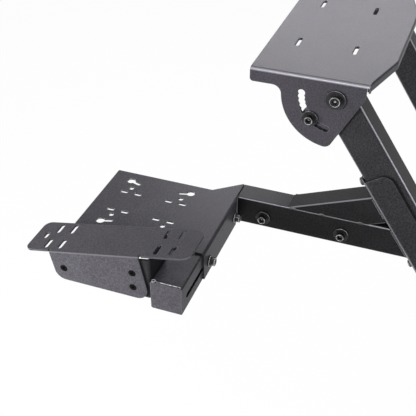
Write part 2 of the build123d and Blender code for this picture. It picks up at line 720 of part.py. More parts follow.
# Handbrake plate: a sloping sheet with a level-bottomed skirt on its near edge
hb_plane = Plane(
    origin=(tube_near_end, tube_front_y, arm_top + hb_rise),
    x_dir=(0, cos(radians(hb_tilt)), sin(radians(hb_tilt))),
    z_dir=(0, -sin(radians(hb_tilt)), cos(radians(hb_tilt))),
)
near_face = Plane(origin=(tube_near_end, tube_front_y, arm_top), x_dir=(0, 1, 0), z_dir=(1, 0, 0))
hb_top = Vector(0, hb_rise)
hb_way = Vector(cos(radians(hb_tilt)), sin(radians(hb_tilt)))
hb_down = Vector(hb_way.Y, -hb_way.X)
with BuildPart() as handbrake_plate:
    with BuildSketch(hb_plane):
        with Locations((-hb_rear, hb_edge_inset)):
            Rectangle(hb_front + hb_rear, hb_width - hb_edge_inset, align=(Align.MIN, Align.MIN))
        fillet(vertices().group_by(Axis.X)[0], hb_rear_corner)
        fillet(vertices().group_by(Axis.X)[-1], hb_front_corner)
        with Locations((-hb_fold_rear, 0)):
            Rectangle(hb_fold_rear - hb_fold_front, hb_width / 2, align=(Align.MIN, Align.MIN))
    extrude(amount=-plate_thickness)
    with BuildSketch(near_face):
        with BuildLine():
            rear_fold = hb_top - hb_way * hb_fold_rear
            front_fold = hb_top - hb_way * hb_fold_front
            rear_drop = (rear_fold.Y + hb_skirt_drop) / -hb_down.Y
            front_drop = (front_fold.Y + hb_skirt_drop) / -hb_down.Y
            front_foot = front_fold + hb_down * front_drop
            rear_foot = rear_fold + hb_down * rear_drop
            Polyline(rear_fold, front_fold, front_foot, rear_foot, close=True)
        make_face()
        fillet(vertices().group_by(Axis.Y)[0], hb_skirt_corner)
    extrude(amount=-plate_thickness)
    with BuildSketch(hb_plane):
        for fold_end in (-hb_fold_rear - hb_relief / 2, -hb_fold_front + hb_relief / 2):
            with Locations((fold_end, 0)):
                Rectangle(hb_relief, 2 * hb_relief_depth)
    extrude(amount=-plate_thickness, mode=Mode.SUBTRACT)
    fold_edges = edges().filter_by(lambda edge: edge.length > hb_fold_rear - hb_fold_front - cut_past)
    fold_edge = fold_edges.sort_by(Axis.X).group_by(Axis.X)[-1].sort_by(Axis.Z)[-1]
    fillet(fold_edge, hb_fold)
    with BuildSketch(hb_plane):
        for column in hb_slot_columns:
            for row in (0, hb_slot_rows):
                with Locations((column, hb_slot_inset + row)):
                    SlotOverall(hb_slot_length, hb_slot_width, rotation=90)
        with Locations((hb_small_slot_at, hb_slot_inset + hb_slot_rows / 2)):
            SlotOverall(hb_small_slot_length, hb_slot_width, rotation=90)
    extrude(amount=-plate_thickness, mode=Mode.SUBTRACT)
    for at in hb_screws:
        with Locations(near_face.shift_origin(near_face.from_local_coords(Vector(*at)))):
            CounterSinkHole(screw / 2 + screw_fit, screw_head / 2 + screw_fit, plate_thickness)
save(handbrake_plate.part, "handbrake_plate")

with BuildPart() as handbrake_bracket:
    leg_out = tube_near_end - plate_thickness
    with BuildSketch(Plane.XY.offset(arm_top - hb_bracket_drop)):
        with Locations((leg_out, tube_rear_y)):
            Rectangle(hb_bracket_width, hb_bracket_rear - cross_tube_size, align=(Align.MAX, Align.MAX))
        fillet(vertices().sort_by(lambda v: v.X + v.Y)[-1], plate_bend)
        with BuildSketch(mode=Mode.PRIVATE) as inside:
            with Locations((leg_out - hb_bracket_thickness, tube_rear_y - hb_bracket_thickness)):
                Rectangle(hb_bracket_width, hb_bracket_rear, align=(Align.MAX, Align.MAX))
            fillet(vertices().sort_by(lambda v: v.X + v.Y)[-1], plate_bend - hb_bracket_thickness)
        add(inside.sketch, mode=Mode.SUBTRACT)
    extrude(amount=hb_bracket_drop + hb_rise)
    with BuildSketch(near_face):
        with BuildLine():
            front_top = hb_top + hb_down * (plate_thickness + hb_bracket_clear)
            rear_top = front_top - hb_way * (hb_bracket_rear + hb_bracket_clear)
            Polyline(
                front_top,
                (front_top.X, -hb_bracket_drop),
                (-hb_bracket_rear, -hb_bracket_drop),
                (-hb_bracket_rear, rear_top.Y),
                rear_top,
                close=True,
            )
        make_face()
    extrude(amount=-2 * hb_bracket_width, mode=Mode.INTERSECT)
    for at in hb_screws:
        hole_plane = near_face.shift_origin(near_face.from_local_coords(Vector(*at)))
        cut_hole(hole_plane, screw + hole_clearance, -2 * hb_bracket_thickness - plate_thickness)
    for inset in hb_bracket_bolts:
        hole_at = Vector(tube_near_end + inset, tube_rear_y, arm_top - cross_tube_size / 2)
        hole_plane = Plane(origin=hole_at, x_dir=(1, 0, 0), z_dir=(0, -1, 0))
        cut_hole(hole_plane, bolt + hole_clearance, hb_bracket_thickness)
save(handbrake_bracket.part, "handbrake_bracket")

with BuildPart() as handbrake_screws:
    for at in hb_screws:
        seat = near_face.shift_origin(near_face.from_local_coords(Vector(*at)))
        head_depth = (screw_head - screw) / 2
        with BuildSketch(seat) as head_face:
            Circle(screw_head / 2)
        extrude(head_face.sketch, amount=-head_depth, taper=45)
        add_disc(seat, screw, -screw_length)
        add_hexagon(seat.offset(-plate_thickness - hb_bracket_thickness), screw * nut_size, -screw_nut_height)
        add_hexagon(seat, screw_socket, -head_depth * socket_depth, Mode.SUBTRACT)
save(handbrake_screws.part, "handbrake_screws")

with BuildPart() as handbrake_bracket_bolts:
    for inset in hb_bracket_bolts:
        bracket_face_y = tube_rear_y - hb_bracket_thickness
        seat_at = Vector(tube_near_end + inset, bracket_face_y, arm_top - cross_tube_size / 2)
        seat = Plane(origin=seat_at, x_dir=(1, 0, 0), z_dir=(0, -1, 0))
        shank = hb_bracket_thickness + arm_wall + nut_height
        add_bolt(seat, bolt, bolt_head, bolt_head_height, slide_washer, shank)
save(handbrake_bracket_bolts.part, "handbrake_bracket_bolts")

# Pedal plate: one folded sheet on two light bars between the rails
pedal_end = base_length - foot_bar_size / 2 - pedal_front_gap
pedal_heel_start = pedal_end - pedal_depth
pedal_width = 2 * (rail_x - rail_width / 2 - pedal_side_gap)
pedal_run = pedal_depth - pedal_heel
pedal_start = Vector(0, pedal_heel_start + pedal_heel, rail_height + plate_thickness)
slope_way = Vector(0, cos(radians(pedal_slope)), sin(radians(pedal_slope)))
pedal_length = pedal_run / cos(radians(pedal_slope))
with BuildPart() as pedal_plate:
    sheet_middle = Vector(-pedal_width / 2, 0, rail_height + plate_thickness / 2)
    with BuildSketch(Plane(origin=sheet_middle, x_dir=(0, 1, 0), z_dir=(1, 0, 0))):
        with BuildLine():
            FilletPolyline(
                (pedal_heel_start, 0),
                (pedal_heel_start + pedal_heel, 0),
                (pedal_end, pedal_run * tan(radians(pedal_slope))),
                (pedal_end, 0),
                radius=pedal_bend,
            )
            offset(amount=plate_thickness / 2)
        make_face()
    extrude(amount=pedal_width)
    slope_middle = pedal_start + slope_way * pedal_length / 2
    with BuildSketch(Plane(origin=slope_middle, x_dir=(1, 0, 0), z_dir=(0, -slope_way.Z, slope_way.Y))):
        with GridLocations(pedal_slot_pitch_x, pedal_slot_pitch_y, pedal_slot_columns, pedal_slot_rows):
            SlotOverall(pedal_slot_length, pedal_slot_width, rotation=90)
    extrude(amount=2 * plate_thickness, both=True, mode=Mode.SUBTRACT)
save(pedal_plate.part, "pedal_plate")

pedal_bars = (("rear", pedal_heel_start + pedal_bar_size / 2), ("front", pedal_end - pedal_bar_size / 2))
for name, bar_y in pedal_bars:
    with BuildPart() as pedal_bar:
        bar_z = rail_height - pedal_bar_size / 2
        bar_start = Vector(rail_width / 2 - rail_x, bar_y, bar_z)
        with BuildSketch(Plane(origin=bar_start, x_dir=(0, 1, 0), z_dir=(1, 0, 0))):
            tube_section(pedal_bar_size, pedal_bar_size, bar_wall, bar_corner)
        extrude(amount=2 * rail_x - rail_width)
    save(pedal_bar.part, f"{name}_pedal_bar")
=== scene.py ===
"""Looks of the racing wheel stand: powder coat, moulded caps, black bolts, weld beads and a pale studio."""

import json
import math

import bmesh
import bpy
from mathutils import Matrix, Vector, noise


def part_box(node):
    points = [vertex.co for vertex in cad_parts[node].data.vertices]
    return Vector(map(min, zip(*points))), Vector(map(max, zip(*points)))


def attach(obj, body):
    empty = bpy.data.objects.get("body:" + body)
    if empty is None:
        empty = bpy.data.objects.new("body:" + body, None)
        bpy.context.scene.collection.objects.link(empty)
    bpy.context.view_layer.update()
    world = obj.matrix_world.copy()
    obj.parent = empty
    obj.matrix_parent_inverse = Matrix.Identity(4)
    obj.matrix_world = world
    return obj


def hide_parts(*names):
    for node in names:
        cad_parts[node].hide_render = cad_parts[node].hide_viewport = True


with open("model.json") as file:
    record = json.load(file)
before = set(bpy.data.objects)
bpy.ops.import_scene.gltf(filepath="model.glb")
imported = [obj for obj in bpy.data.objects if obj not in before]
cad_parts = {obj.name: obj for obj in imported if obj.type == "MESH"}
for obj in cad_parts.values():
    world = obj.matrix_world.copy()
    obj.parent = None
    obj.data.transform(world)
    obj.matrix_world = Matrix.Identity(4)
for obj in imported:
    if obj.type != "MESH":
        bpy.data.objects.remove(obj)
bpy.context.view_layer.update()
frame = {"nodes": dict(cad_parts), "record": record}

MM = 0.001
WHITE = (1, 1, 1, 1)
RIGHT = Vector((1, 0, 0))
FORWARD = Vector((0, 1, 0))
UP = Vector((0, 0, 1))


class Value:
    """A shader number; each operator adds the Math node that works it out."""

    def __init__(self, socket):
        self.socket = socket

    def math(self, operation, *terms):
        """The result of one Math node, in this value's node tree."""
        tree = self.socket.id_data
        node = tree.nodes.new("ShaderNodeMath")
        node.operation = operation
        for place, term in zip(node.inputs, terms):
            plug(place, term)
        return Value(node.outputs[0])

    def __add__(self, other):
        return self.math("ADD", self, other)

    def __sub__(self, other):
        return self.math("SUBTRACT", self, other)

    def __rsub__(self, other):
        return self.math("SUBTRACT", other, self)

    def __mul__(self, other):
        return self.math("MULTIPLY", self, other)

    def __pow__(self, other):
        return self.math("POWER", self, other)

    __radd__ = __add__
    __rmul__ = __mul__

    def within(self, low, high):
        """0 below low, 1 above high, and a smooth step between them."""
        share = (self - low) * (1 / (high - low))
        return share.math("SMOOTH_MIN", share.math("SMOOTH_MAX", share, 0, 0.1), 1, 0.1)


def plug(place, term):
    """Set a socket to a plain value, or link it to a shader value or an output."""
    if isinstance(term, Value):
        term = term.socket
    if isinstance(term, bpy.types.NodeSocket):
        place.id_data.links.new(term, place)
    else:
        place.default_value = term


class Nodes:
    """A node tree while it is put together."""

    def __init__(self, tree):
        self.tree = tree

    def node(self, kind, settings=None, sockets=None):
        """Any node: its settings go in first, then the values or links of its sockets."""
        made = self.tree.nodes.new(kind)
        for name, setting in (settings or {}).items():
            setattr(made, name, setting)
        for name, term in (sockets or {}).items():
            plug(made.inputs[name], term)
        return made

    def seen(self):
        """1 for what the camera, a reflection or a clear pane shows, 0 for light that falls on things."""
        rays = self.node("ShaderNodeLightPath").outputs
        camera_ray = Value(rays["Is Camera Ray"])
        shown = camera_ray.math("MAXIMUM", camera_ray, rays["Is Glossy Ray"])
        return shown.math("MAXIMUM", shown, rays["Is Transmission Ray"])


class Finish(Nodes):
    """One surface finish while it is put together."""

    def __init__(self, name):
        self.material = bpy.data.materials.new(name)
        self.material.use_nodes = True
        super().__init__(self.material.node_tree)
        self.shader = self.tree.nodes["Principled BSDF"]

    def place(self):
        """Where a point is on its piece, in metres."""
        return self.node("ShaderNodeTexCoord").outputs["Object"]

    def grain(self, size, detail=2.0, roughness=0.5):
        """Random grain whose features are about this size in metres."""
        sockets = {"Vector": self.place(), "Scale": 1 / size, "Detail": detail, "Roughness": roughness}
        return Value(self.node("ShaderNodeTexNoise", sockets=sockets).outputs[0])

    def tint(self, share, first, second):
        """A colour between two, by a share; each end is a plain colour or a link."""
        ends = []
        for term in (first, second):
            ends.append(term if isinstance(term, bpy.types.NodeSocket) else (*term, 1))
        sockets = {0: share, 6: ends[0], 7: ends[1]}
        return self.node("ShaderNodeMix", {"data_type": "RGBA"}, sockets).outputs[2]

    def edges(self, radius):
        """The normal with its edges rounded, and a mask that is 1 on the edges."""
        soft = self.node("ShaderNodeBevel", {"samples": 8}, {"Radius": radius}).outputs[0]
        hard = self.node("ShaderNodeNewGeometry").outputs["Normal"]
        along = self.node("ShaderNodeVectorMath", {"operation": "DOT_PRODUCT"}, {0: soft, 1: hard})
        return soft, (1 - Value(along.outputs["Value"])).within(0.004, 0.2)

    def side_bend_highlights(self):
        """1 along the rounded bends and tube corners that turn from a side face, 0 on flat faces: where the
        coat gets a painted highlight.
        """
        normal = self.node("ShaderNodeTexCoord").outputs["Normal"]
        sideways = Value(self.node("ShaderNodeSeparateXYZ", sockets={0: normal}).outputs["X"])
        share = sideways.math("ABSOLUTE", sideways)
        return (share * (1 - share * share) ** 0.5 * 2).within(0.45, 0.9)

    def bump(self, height, depth, strength, normal=None):
        """Relief of the surface, in metres, on top of the given normal."""
        sockets = {"Height": height, "Distance": depth, "Strength": strength}
        if normal is not None:
            sockets["Normal"] = normal
        return self.node("ShaderNodeBump", sockets=sockets).outputs[0]

    def set(self, **terms):
        """Values or links of the shader's own sockets, with _ for the spaces in their names."""
        for name, term in terms.items():
            plug(self.shader.inputs[name.replace("_", " ")], term)
        return self.material


def shade(colour, share):
    """A colour made darker or lighter."""
    return tuple(share * part for part in colour)


def powder_coat(name, colour, worn_and_highlight_tint, gloss, bend_highlight_metal, speckle=0.4):
    """Baked powder on steel: a pebbled, flecked skin, faint clouding, lighter worn edges, and a painted
    highlight, lighter and more metallic, along the bends that turn from a side face.
    """
    coat = Finish(name)
    pebble = coat.grain(1.7 * MM, 3.0, 0.65)
    cloud = coat.grain(45 * MM, 3.0, 0.6)
    fleck = coat.grain(2.4 * MM, 3.0, 0.75)
    rounded, edge = coat.edges(1.2 * MM)
    bend_highlight = coat.side_bend_highlights()
    edge_wear = edge * (0.3 + 0.4 * cloud)
    # painted highlight: along bends that turn from a side face the colour goes lighter and more metallic, on
    # top of the worn edges
    wear_and_bend_highlight = edge_wear.math("MAXIMUM", edge_wear, bend_highlight * (0.75 + 0.25 * pebble))
    share = fleck.within(0.38, 0.62) * 0.8 + cloud.within(0.3, 0.7) * 0.2
    body = coat.tint(share, shade(colour, 1 - speckle), shade(colour, 1 + speckle))
    return coat.set(
        Base_Color=coat.tint(wear_and_bend_highlight, body, worn_and_highlight_tint),
        Roughness=gloss - 0.09 + 0.26 * fleck - 0.1 * wear_and_bend_highlight,
        Metallic=bend_highlight_metal * bend_highlight,
        Normal=coat.bump(pebble + 0.5 * fleck, 0.1 * MM, 0.5, rounded),
        Specular_IOR_Level=0.1,
    )


def black_oxide(name, colour, worn, gloss, metal, shine=0.5):
    """Oiled black oxide on bolt steel: nearly black, with a fine grain and worn edges."""
    steel = Finish(name)
    fine = steel.grain(0.9 * MM, 3.0, 0.65)
    stain = steel.grain(6 * MM, 2.0)
    rounded, edge = steel.edges(0.6 * MM)
    return steel.set(
        Base_Color=steel.tint(edge * 0.8 + 0.08 * stain, colour, worn),
        Roughness=gloss + 0.12 * stain - 0.05 * edge,
        Metallic=metal,
        Normal=steel.bump(fine, 0.03 * MM, 0.35, rounded),
        Specular_IOR_Level=shine,
    )


def highlight_metal(name, colour, gloss):
    """Bright turned steel with fine scratches and random darker patches, used as painted highlights on rims,
    socket floors and bright lines.
    """
    steel = Finish(name)
    scratch = steel.grain(0.5 * MM, 4.0, 0.7)
    stain = steel.grain(5 * MM, 2.0)
    return steel.set(
        Base_Color=steel.tint(stain.within(0.4, 0.6), colour, shade(colour, 0.3)),
        Roughness=gloss + 0.18 * scratch,
        Metallic=0.9,
        Normal=steel.bump(scratch, 0.02 * MM, 0.4),
    )


def moulded(name, colour):
    """Matt moulded plastic with a fine spark-eroded grain."""
    plastic = Finish(name)
    grit = plastic.grain(0.6 * MM, 2.0, 0.7)
    flow = plastic.grain(20 * MM, 1.0)
    rounded, edge = plastic.edges(0.8 * MM)
    return plastic.set(
        Base_Color=plastic.tint(0.3 * flow + 0.5 * edge, colour, shade(colour, 1.6)),
        Roughness=0.55 + 0.1 * grit,
        Normal=plastic.bump(grit, 0.06 * MM, 0.5, rounded),
    )


# Finishes: colours of the coat, and of the metal where it is worn and where its bends carry a painted
# highlight
TUBE_WORN_AND_HIGHLIGHT = (0.26, 0.25, 0.275)
SHEET_GREY = (0.06, 0.0572, 0.066)
# painted shade: the frame and arm coats are darker copies of the sheet coat, so the parts in their slots look
# shaded
shaded_frame_coat = powder_coat("frame_powder_coat", (0.026, 0.025, 0.0275), TUBE_WORN_AND_HIGHLIGHT, 0.38, 0.6, speckle=0.65)
shaded_arm_coat = powder_coat("arm_powder_coat", (0.0122, 0.0116, 0.0129), TUBE_WORN_AND_HIGHLIGHT, 0.38, 0.6, speckle=0.8)
plate_coat = powder_coat("plate_powder_coat", SHEET_GREY, (0.34, 0.33, 0.36), 0.36, 0.5)
# the handbrake plate: the sheet coat with an edge and bend tint half as light, so its painted bend highlight
# and edges come out dimmer
lever_plate_coat = powder_coat("lever_plate_powder_coat", SHEET_GREY, (0.17, 0.165, 0.178), 0.36, 0.5)
deck_coat = powder_coat("deck_powder_coat", (0.05, 0.0475, 0.0555), (0.34, 0.33, 0.37), 0.38, 0.5)
# painted shade: a near-black copy of the coat for the handbrake bracket under the plate, with little edge
# tint or bend highlight
shaded_bracket_coat = powder_coat("bracket_painted_shade_coat", (0.02, 0.0192, 0.0212), (0.03, 0.029, 0.032), 0.42, 0.1)
weld_coat = powder_coat("coated_welds", (0.045, 0.0435, 0.0475), (0.2, 0.196, 0.21), 0.33, 0.2)
cap_plastic = moulded("cap_plastic", (0.02, 0.02, 0.021))
bolt_black = black_oxide("black_bolts", (0.008, 0.008, 0.0082), (0.1, 0.1, 0.104), 0.3, 0.3, 0.3)
# painted highlight: a lighter, more metallic copy of the black bolt finish, with worn edges, for the slide
# and bracket bolts
bolt_lit_and_worn = black_oxide("lit_and_worn_bolts", (0.07, 0.069, 0.072), (0.4, 0.395, 0.41), 0.22, 0.75)
screw_black = black_oxide("black_screws", (0.003, 0.003, 0.003), (0.006, 0.006, 0.006), 0.6, 0.0, 0.08)
washer_grey = black_oxide("grey_washers", (0.022, 0.0215, 0.0235), (0.2, 0.196, 0.208), 0.34, 0.3, 0.3)
# painted highlights: bright steel for the bolt rims and socket floors, the cap's weld line and the vent ring
highlight_steel = highlight_metal("painted_highlight_steel", (0.68, 0.67, 0.69), 0.26)
glint_steel = highlight_metal("socket_floors", (0.85, 0.84, 0.86), 0.2)

by_slot = {
    "frame_powder_coat": shaded_frame_coat,
    "arm_powder_coat": shaded_arm_coat,
    "plate_powder_coat": plate_coat,
    "deck_powder_coat": deck_coat,
    "cap_plastic": cap_plastic,
    "black_bolts": bolt_black,
}
by_node = {
    # painted shade: the arm bracket takes the darker frame coat
    "arm_bracket": shaded_frame_coat,
    # painted highlight: the slide and bracket bolts take the lighter bolt finish
    "bracket_bolts": bolt_lit_and_worn,
    "slide_bolts": bolt_lit_and_worn,
    "cross_tube": plate_coat,
    "cross_tube_caps": plate_coat,
    # painted shade: the handbrake bracket takes the near-black coat
    "handbrake_bracket": shaded_bracket_coat,
    "handbrake_plate": lever_plate_coat,
    "handbrake_screws": screw_black,
    # painted light: the lock lugs sit in the skirt's shade but take the lighter sheet coat, so they look lit
    # through the tilt slot
    "left_lock_lug": plate_coat,
    "right_lock_lug": plate_coat,
}


def coat_cad_nodes():
    """Give each CAD node the finish of its slot, or its own."""
    for subpart in frame["record"]["subparts"]:
        node, slot = subpart["node"], subpart["material_slot"]
        materials = frame["nodes"][node].data.materials
        materials.clear()
        materials.append(by_node.get(node, by_slot[slot]))


def photo_camera():
    """The camera, fitted to the edges in the photograph."""
    data = bpy.data.cameras.new("camera")
    data.sensor_width = 36.0
    data.lens = 71.53
    camera = bpy.data.objects.new("camera", data)
    camera.location = (1.2483, -0.03976, 1.2451)
    camera.rotation_euler = (math.radians(53.768), 0, math.radians(110.478))
    bpy.context.scene.collection.objects.link(camera)
    bpy.context.scene.camera = camera


def add_piece(name, shape, body, finish):
    """Turn a finished bmesh into a smooth-shaded piece that rides on a body."""
    mesh = bpy.data.meshes.new(name)
    bmesh.ops.recalc_face_normals(shape, faces=shape.faces)
    shape.to_mesh(mesh)
    shape.free()
    for face in mesh.polygons:
        face.use_smooth = True
    piece = bpy.data.objects.new(name, mesh)
    bpy.context.scene.collection.objects.link(piece)
    mesh.materials.append(finish)
    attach(piece, body)
    return piece


def corners_of(node):
    """The lowest and highest corner of a CAD node as vectors."""
    low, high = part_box(node)
    return Vector(low), Vector(high)


def joint_place(name):
    """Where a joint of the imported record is."""
    for joint in frame["record"]["behaviour"]["joints"]:
        if joint["name"] == name:
            return Vector(joint["pos_m"])
    raise KeyError(name)


def mirrored(vector):
    """The same place or direction on the other side of the stand."""
    return Vector((-vector.x, vector.y, vector.z))


def arc_points(middle, radius, first, last, count):
    """Points of a profile's arc, by angles in degrees."""
    points = []
    for step in range(count + 1):
        angle = math.radians(first + (last - first) * step / count)
        points.append((middle[0] + radius * math.cos(angle), middle[1] + radius * math.sin(angle)))
    return points


def bridge(shape, here, there):
    """A band of faces between two closed rings of as many corners."""
    for step in range(len(here)):
        after = (step + 1) % len(here)
        shape.faces.new((here[step], here[after], there[after], there[step]))


def turn_profile(shape, place, axis, profile, steps=40):
    """Add a turned form: a closed profile of (radius, height) points, swept round an axis at a place."""
    across = axis.orthogonal().normalized()
    up = axis.cross(across)
    rings = []
    for step in range(steps):
        angle = 2 * math.pi * step / steps
        out = across * math.cos(angle) + up * math.sin(angle)
        rings.append([shape.verts.new(place + out * radius + axis * height) for radius, height in profile])
    for here, there in zip(rings, rings[1:] + rings[:1]):
        bridge(shape, here, there)


def copied_solids(node):
    """A bmesh with a CAD node's solids, their split corners joined."""
    shape = bmesh.new()
    shape.from_mesh(frame["nodes"][node].data)
    bmesh.ops.remove_doubles(shape, verts=shape.verts, dist=0.001 * MM)
    return shape


def solids_of(node):
    """The corner points of each separate solid in a CAD node, in the order of the node's corners."""
    shape = copied_solids(node)
    waiting = set(shape.verts)
    solids = []
    for first in shape.verts:
        if first not in waiting:
            continue
        waiting.remove(first)
        reached = [first]
        points = []
        while reached:
            vert = reached.pop()
            points.append(vert.co.copy())
            neighbours = {edge.other_vert(vert) for edge in vert.link_edges} & waiting
            waiting -= neighbours
            reached += neighbours
        solids.append(points)
    shape.free()
    return solids


# The uprights' lean and depth, and how far a bead keeps from a tube's corner and from the floor
UPRIGHT_LEAN = math.radians(56)
UPRIGHT_HALF_DEPTH = 27.5 * MM
DOWN = Vector((0, math.cos(UPRIGHT_LEAN), -math.sin(UPRIGHT_LEAN)))
TOWARD_DRIVER = Vector((0, -math.sin(UPRIGHT_LEAN), -math.cos(UPRIGHT_LEAN)))
BEAD_INSET = 4 * MM
FLOOR_GAP = 5 * MM

# Bolts: sizes of the heads, washers and shanks, and the skin that a new piece adds to the CAD
SMALL_HEAD = 13 * MM
SMALL_HEAD_HEIGHT = 8 * MM
LARGE_HEAD = 16 * MM
LARGE_HEAD_HEIGHT = 6 * MM
SLIM_WASHER = 17 * MM
WIDE_WASHER = 24 * MM
PIVOT_WASHER = 30 * MM
WASHER_THICKNESS = 2 * MM
SHANK = 8 * MM
PIVOT_SHANK = 10 * MM
THREAD_SHOWN = 3.4 * MM
SKIN = 0.12 * MM
THIN_SKIN = 0.02 * MM
AXIS_GAP = 0.05 * MM
SOCKET_SHARE = 0.54
WASHER_RIM = 0.7 * MM
TWO_SIDED = ("pivot_bolts", "lock_bolts")

# Each row: node, way the heads face, body, head width and height, washer width, width of a thread that shows
bolt_rows = (
    ("pivot_bolts", RIGHT, "stand", LARGE_HEAD, LARGE_HEAD_HEIGHT, PIVOT_WASHER, PIVOT_SHANK),
    ("pivot_bolts", -RIGHT, "stand", LARGE_HEAD, LARGE_HEAD_HEIGHT, PIVOT_WASHER, PIVOT_SHANK),
    ("lock_bolts", RIGHT, "stand", SMALL_HEAD, SMALL_HEAD_HEIGHT, WIDE_WASHER, SHANK),
    ("lock_bolts", -RIGHT, "stand", SMALL_HEAD, SMALL_HEAD_HEIGHT, WIDE_WASHER, SHANK),
    ("arm_bolts", RIGHT, "stand", SMALL_HEAD, SMALL_HEAD_HEIGHT, WIDE_WASHER, SHANK),
    ("slide_bolts", FORWARD, "shifter", SMALL_HEAD, SMALL_HEAD_HEIGHT, SLIM_WASHER, SHANK),
    ("bracket_bolts", TOWARD_DRIVER, "stand", SMALL_HEAD, SMALL_HEAD_HEIGHT, SLIM_WASHER, None),
    ("handbrake_bracket_bolts", -FORWARD, "stand", SMALL_HEAD, SMALL_HEAD_HEIGHT, SLIM_WASHER, None),
)


def bolts_of(node, outward):
    """The middle line, head top and shank end of each bolt of a node that points outward."""
    across = outward.orthogonal().normalized()
    up = outward.cross(across)
    node_middle = sum(corners_of(node), Vector()).dot(outward) / 2
    found = []
    for points in solids_of(node):
        middle = Vector()
        for way in (across, up):
            reach = [point.dot(way) for point in points]
            middle += way * (min(reach) + max(reach)) / 2
        along = [point.dot(outward) for point in points]
        if node not in TWO_SIDED or min(along) >= node_middle:
            found.append((middle, max(along), min(along)))
    return found


def washer_profile(washer, head):
    """A flat washer with a rolled rim, a skin over the one in the CAD."""
    outside = washer / 2 + SKIN
    top = WASHER_THICKNESS + SKIN
    inside = head / 2 - SKIN
    foot = 0.15 * MM
    return [
        (inside, top - WASHER_RIM / 2),
        (inside + WASHER_RIM, top),
        (outside - 2.4 * WASHER_RIM, top),
        *arc_points((outside - WASHER_RIM, top - WASHER_RIM / 4), WASHER_RIM, 105, 0, 7),
        (outside, foot),
        (inside, foot),
    ]


def washer_highlight_profile(washer):
    """A bright steel ring round the edge of a washer: a painted rim highlight."""
    middle = (washer / 2 + SKIN - WASHER_RIM, WASHER_THICKNESS + SKIN - 0.6 * WASHER_RIM)
    return arc_points(middle, WASHER_RIM + 0.15 * MM, -30, 150, 8)


def head_highlight_profile(head, height):
    """A bright, rounded steel ring round the top of a socket head: a painted rim highlight."""
    round_off = 0.9 * MM
    rim = 1.5 * MM
    depth = 1.6 * MM
    outside = head / 2 + SKIN
    top = height + SKIN
    inside = outside - rim
    return [
        (outside, height - depth),
        *arc_points((outside - round_off, top - round_off), round_off, 0, 90, 6),
        (inside + 0.3 * MM, top),
        (inside, top - 0.25 * MM),
        (inside, height - 0.3 * MM),
        (outside - 0.6 * MM, height - depth),
    ]


def socket_glint_profile(head, height):
    """The drilled cone at the bottom of a hexagon socket, in bright steel: a painted glint."""
    radius = head * SOCKET_SHARE / 2 * 0.45
    floor = height * 0.4
    cone = 1.3 * MM
    return [
        (AXIS_GAP, floor + SKIN),
        (radius, floor + cone),
        (radius, floor + SKIN / 2),
        (AXIS_GAP, floor + SKIN / 2),
    ]


def thread_profile(shank, length):
    """Thread crests on the end of a bolt, with a chamfer at the tip."""
    pitch = 1.25 * MM
    tip = 0.3 * MM
    crest = shank / 2 + 0.1 * MM
    valley = shank / 2 + THIN_SKIN
    points = [(tip, -SKIN), (shank / 2 - 0.5 * MM, -SKIN)]
    height = pitch / 2
    while height + pitch / 2 < length:
        points += [(crest, height), (valley, height + pitch / 2)]
        height += pitch
    return [*points, (crest, length), (tip, length)]


def dress_bolts():
    """Washers and thread ends on every bolt, with painted highlights: bright rings on the head and washer
    rims, and a bright glint on each socket floor.
    """
    finishes = {
        "washers": washer_grey,
        "washer_rims": glint_steel,
        "head_rims": highlight_steel,
        "socket_floors": glint_steel,
        "threads": bolt_black,
    }
    shapes = {}
    for node, outward, body, head, height, washer, shank in bolt_rows:
        for middle, top, end in bolts_of(node, outward):
            seat = middle + outward * (top - height - WASHER_THICKNESS)
            face = seat + outward * WASHER_THICKNESS
            parts = [
                ("washers", seat, washer_profile(washer, head)),
                ("washer_rims", seat, washer_highlight_profile(washer)),
                ("head_rims", face, head_highlight_profile(head, height)),
                ("socket_floors", face, socket_glint_profile(head, height)),
            ]
            if shank is not None:
                parts.append(("threads", middle + outward * end, thread_profile(shank, THREAD_SHOWN)))
            for kind, place, profile in parts:
                if (kind, body) not in shapes:
                    shapes[kind, body] = bmesh.new()
                turn_profile(shapes[kind, body], place, outward, profile)
    for (kind, body), shape in shapes.items():
        add_piece(f"{body}_{kind}", shape, body, finishes[kind])


def weld_bead(shape, start, end, out, radius=2.2 * MM, pitch=3.2 * MM):
    """A bead of overlapping ripples along a seam, crowned toward out."""
    sides = 8
    width_share, crown_share = 1.15, 0.62
    wander_share, ripple_share, grain_share, end_share = 0.25, 0.13, 0.1, 0.35
    wander_scale, grain_scale = 90, 240
    run = end - start
    along = run.normalized()
    out = (out - along * out.dot(along)).normalized()
    side = along.cross(out)
    count = max(8, round(run.length / (pitch / 4)))
    rings = []
    for step in range(count + 1):
        share = step / count
        at = start + run * share
        wander = noise.noise(at * wander_scale) * wander_share * radius
        ripple = 1 + ripple_share * abs(math.sin(math.pi * run.length * share / pitch))
        ripple += grain_share * noise.noise(at * grain_scale)
        taper = min(1, end_share + math.sqrt(min(share, 1 - share) * run.length / (2 * radius)))
        size = radius * ripple * taper
        ring = []
        for turn in range(sides):
            angle = 2 * math.pi * turn / sides
            sideways = side * (math.cos(angle) * size * width_share + wander)
            ring.append(shape.verts.new(at + sideways + out * math.sin(angle) * size * crown_share))
        rings.append(ring)
    for here, there in zip(rings, rings[1:]):
        bridge(shape, here, there)
    shape.faces.new(rings[0])
    shape.faces.new(rings[-1])


def foot_bar_seams(rail_low, rail_high):
    """Where a rail ends between the two foot bars: up its sides and across its top."""
    top = rail_high.z
    seams = []
    for y, way in ((rail_low.y, 1), (rail_high.y, -1)):
        for x, out in ((rail_high.x, 1), (rail_low.x, -1)):
            seams.append(((x, y, FLOOR_GAP), (x, y, top - BEAD_INSET), (out, way, 0)))
        seams.append(((rail_low.x + BEAD_INSET, y, top), (rail_high.x - BEAD_INSET, y, top), UP))
    return seams


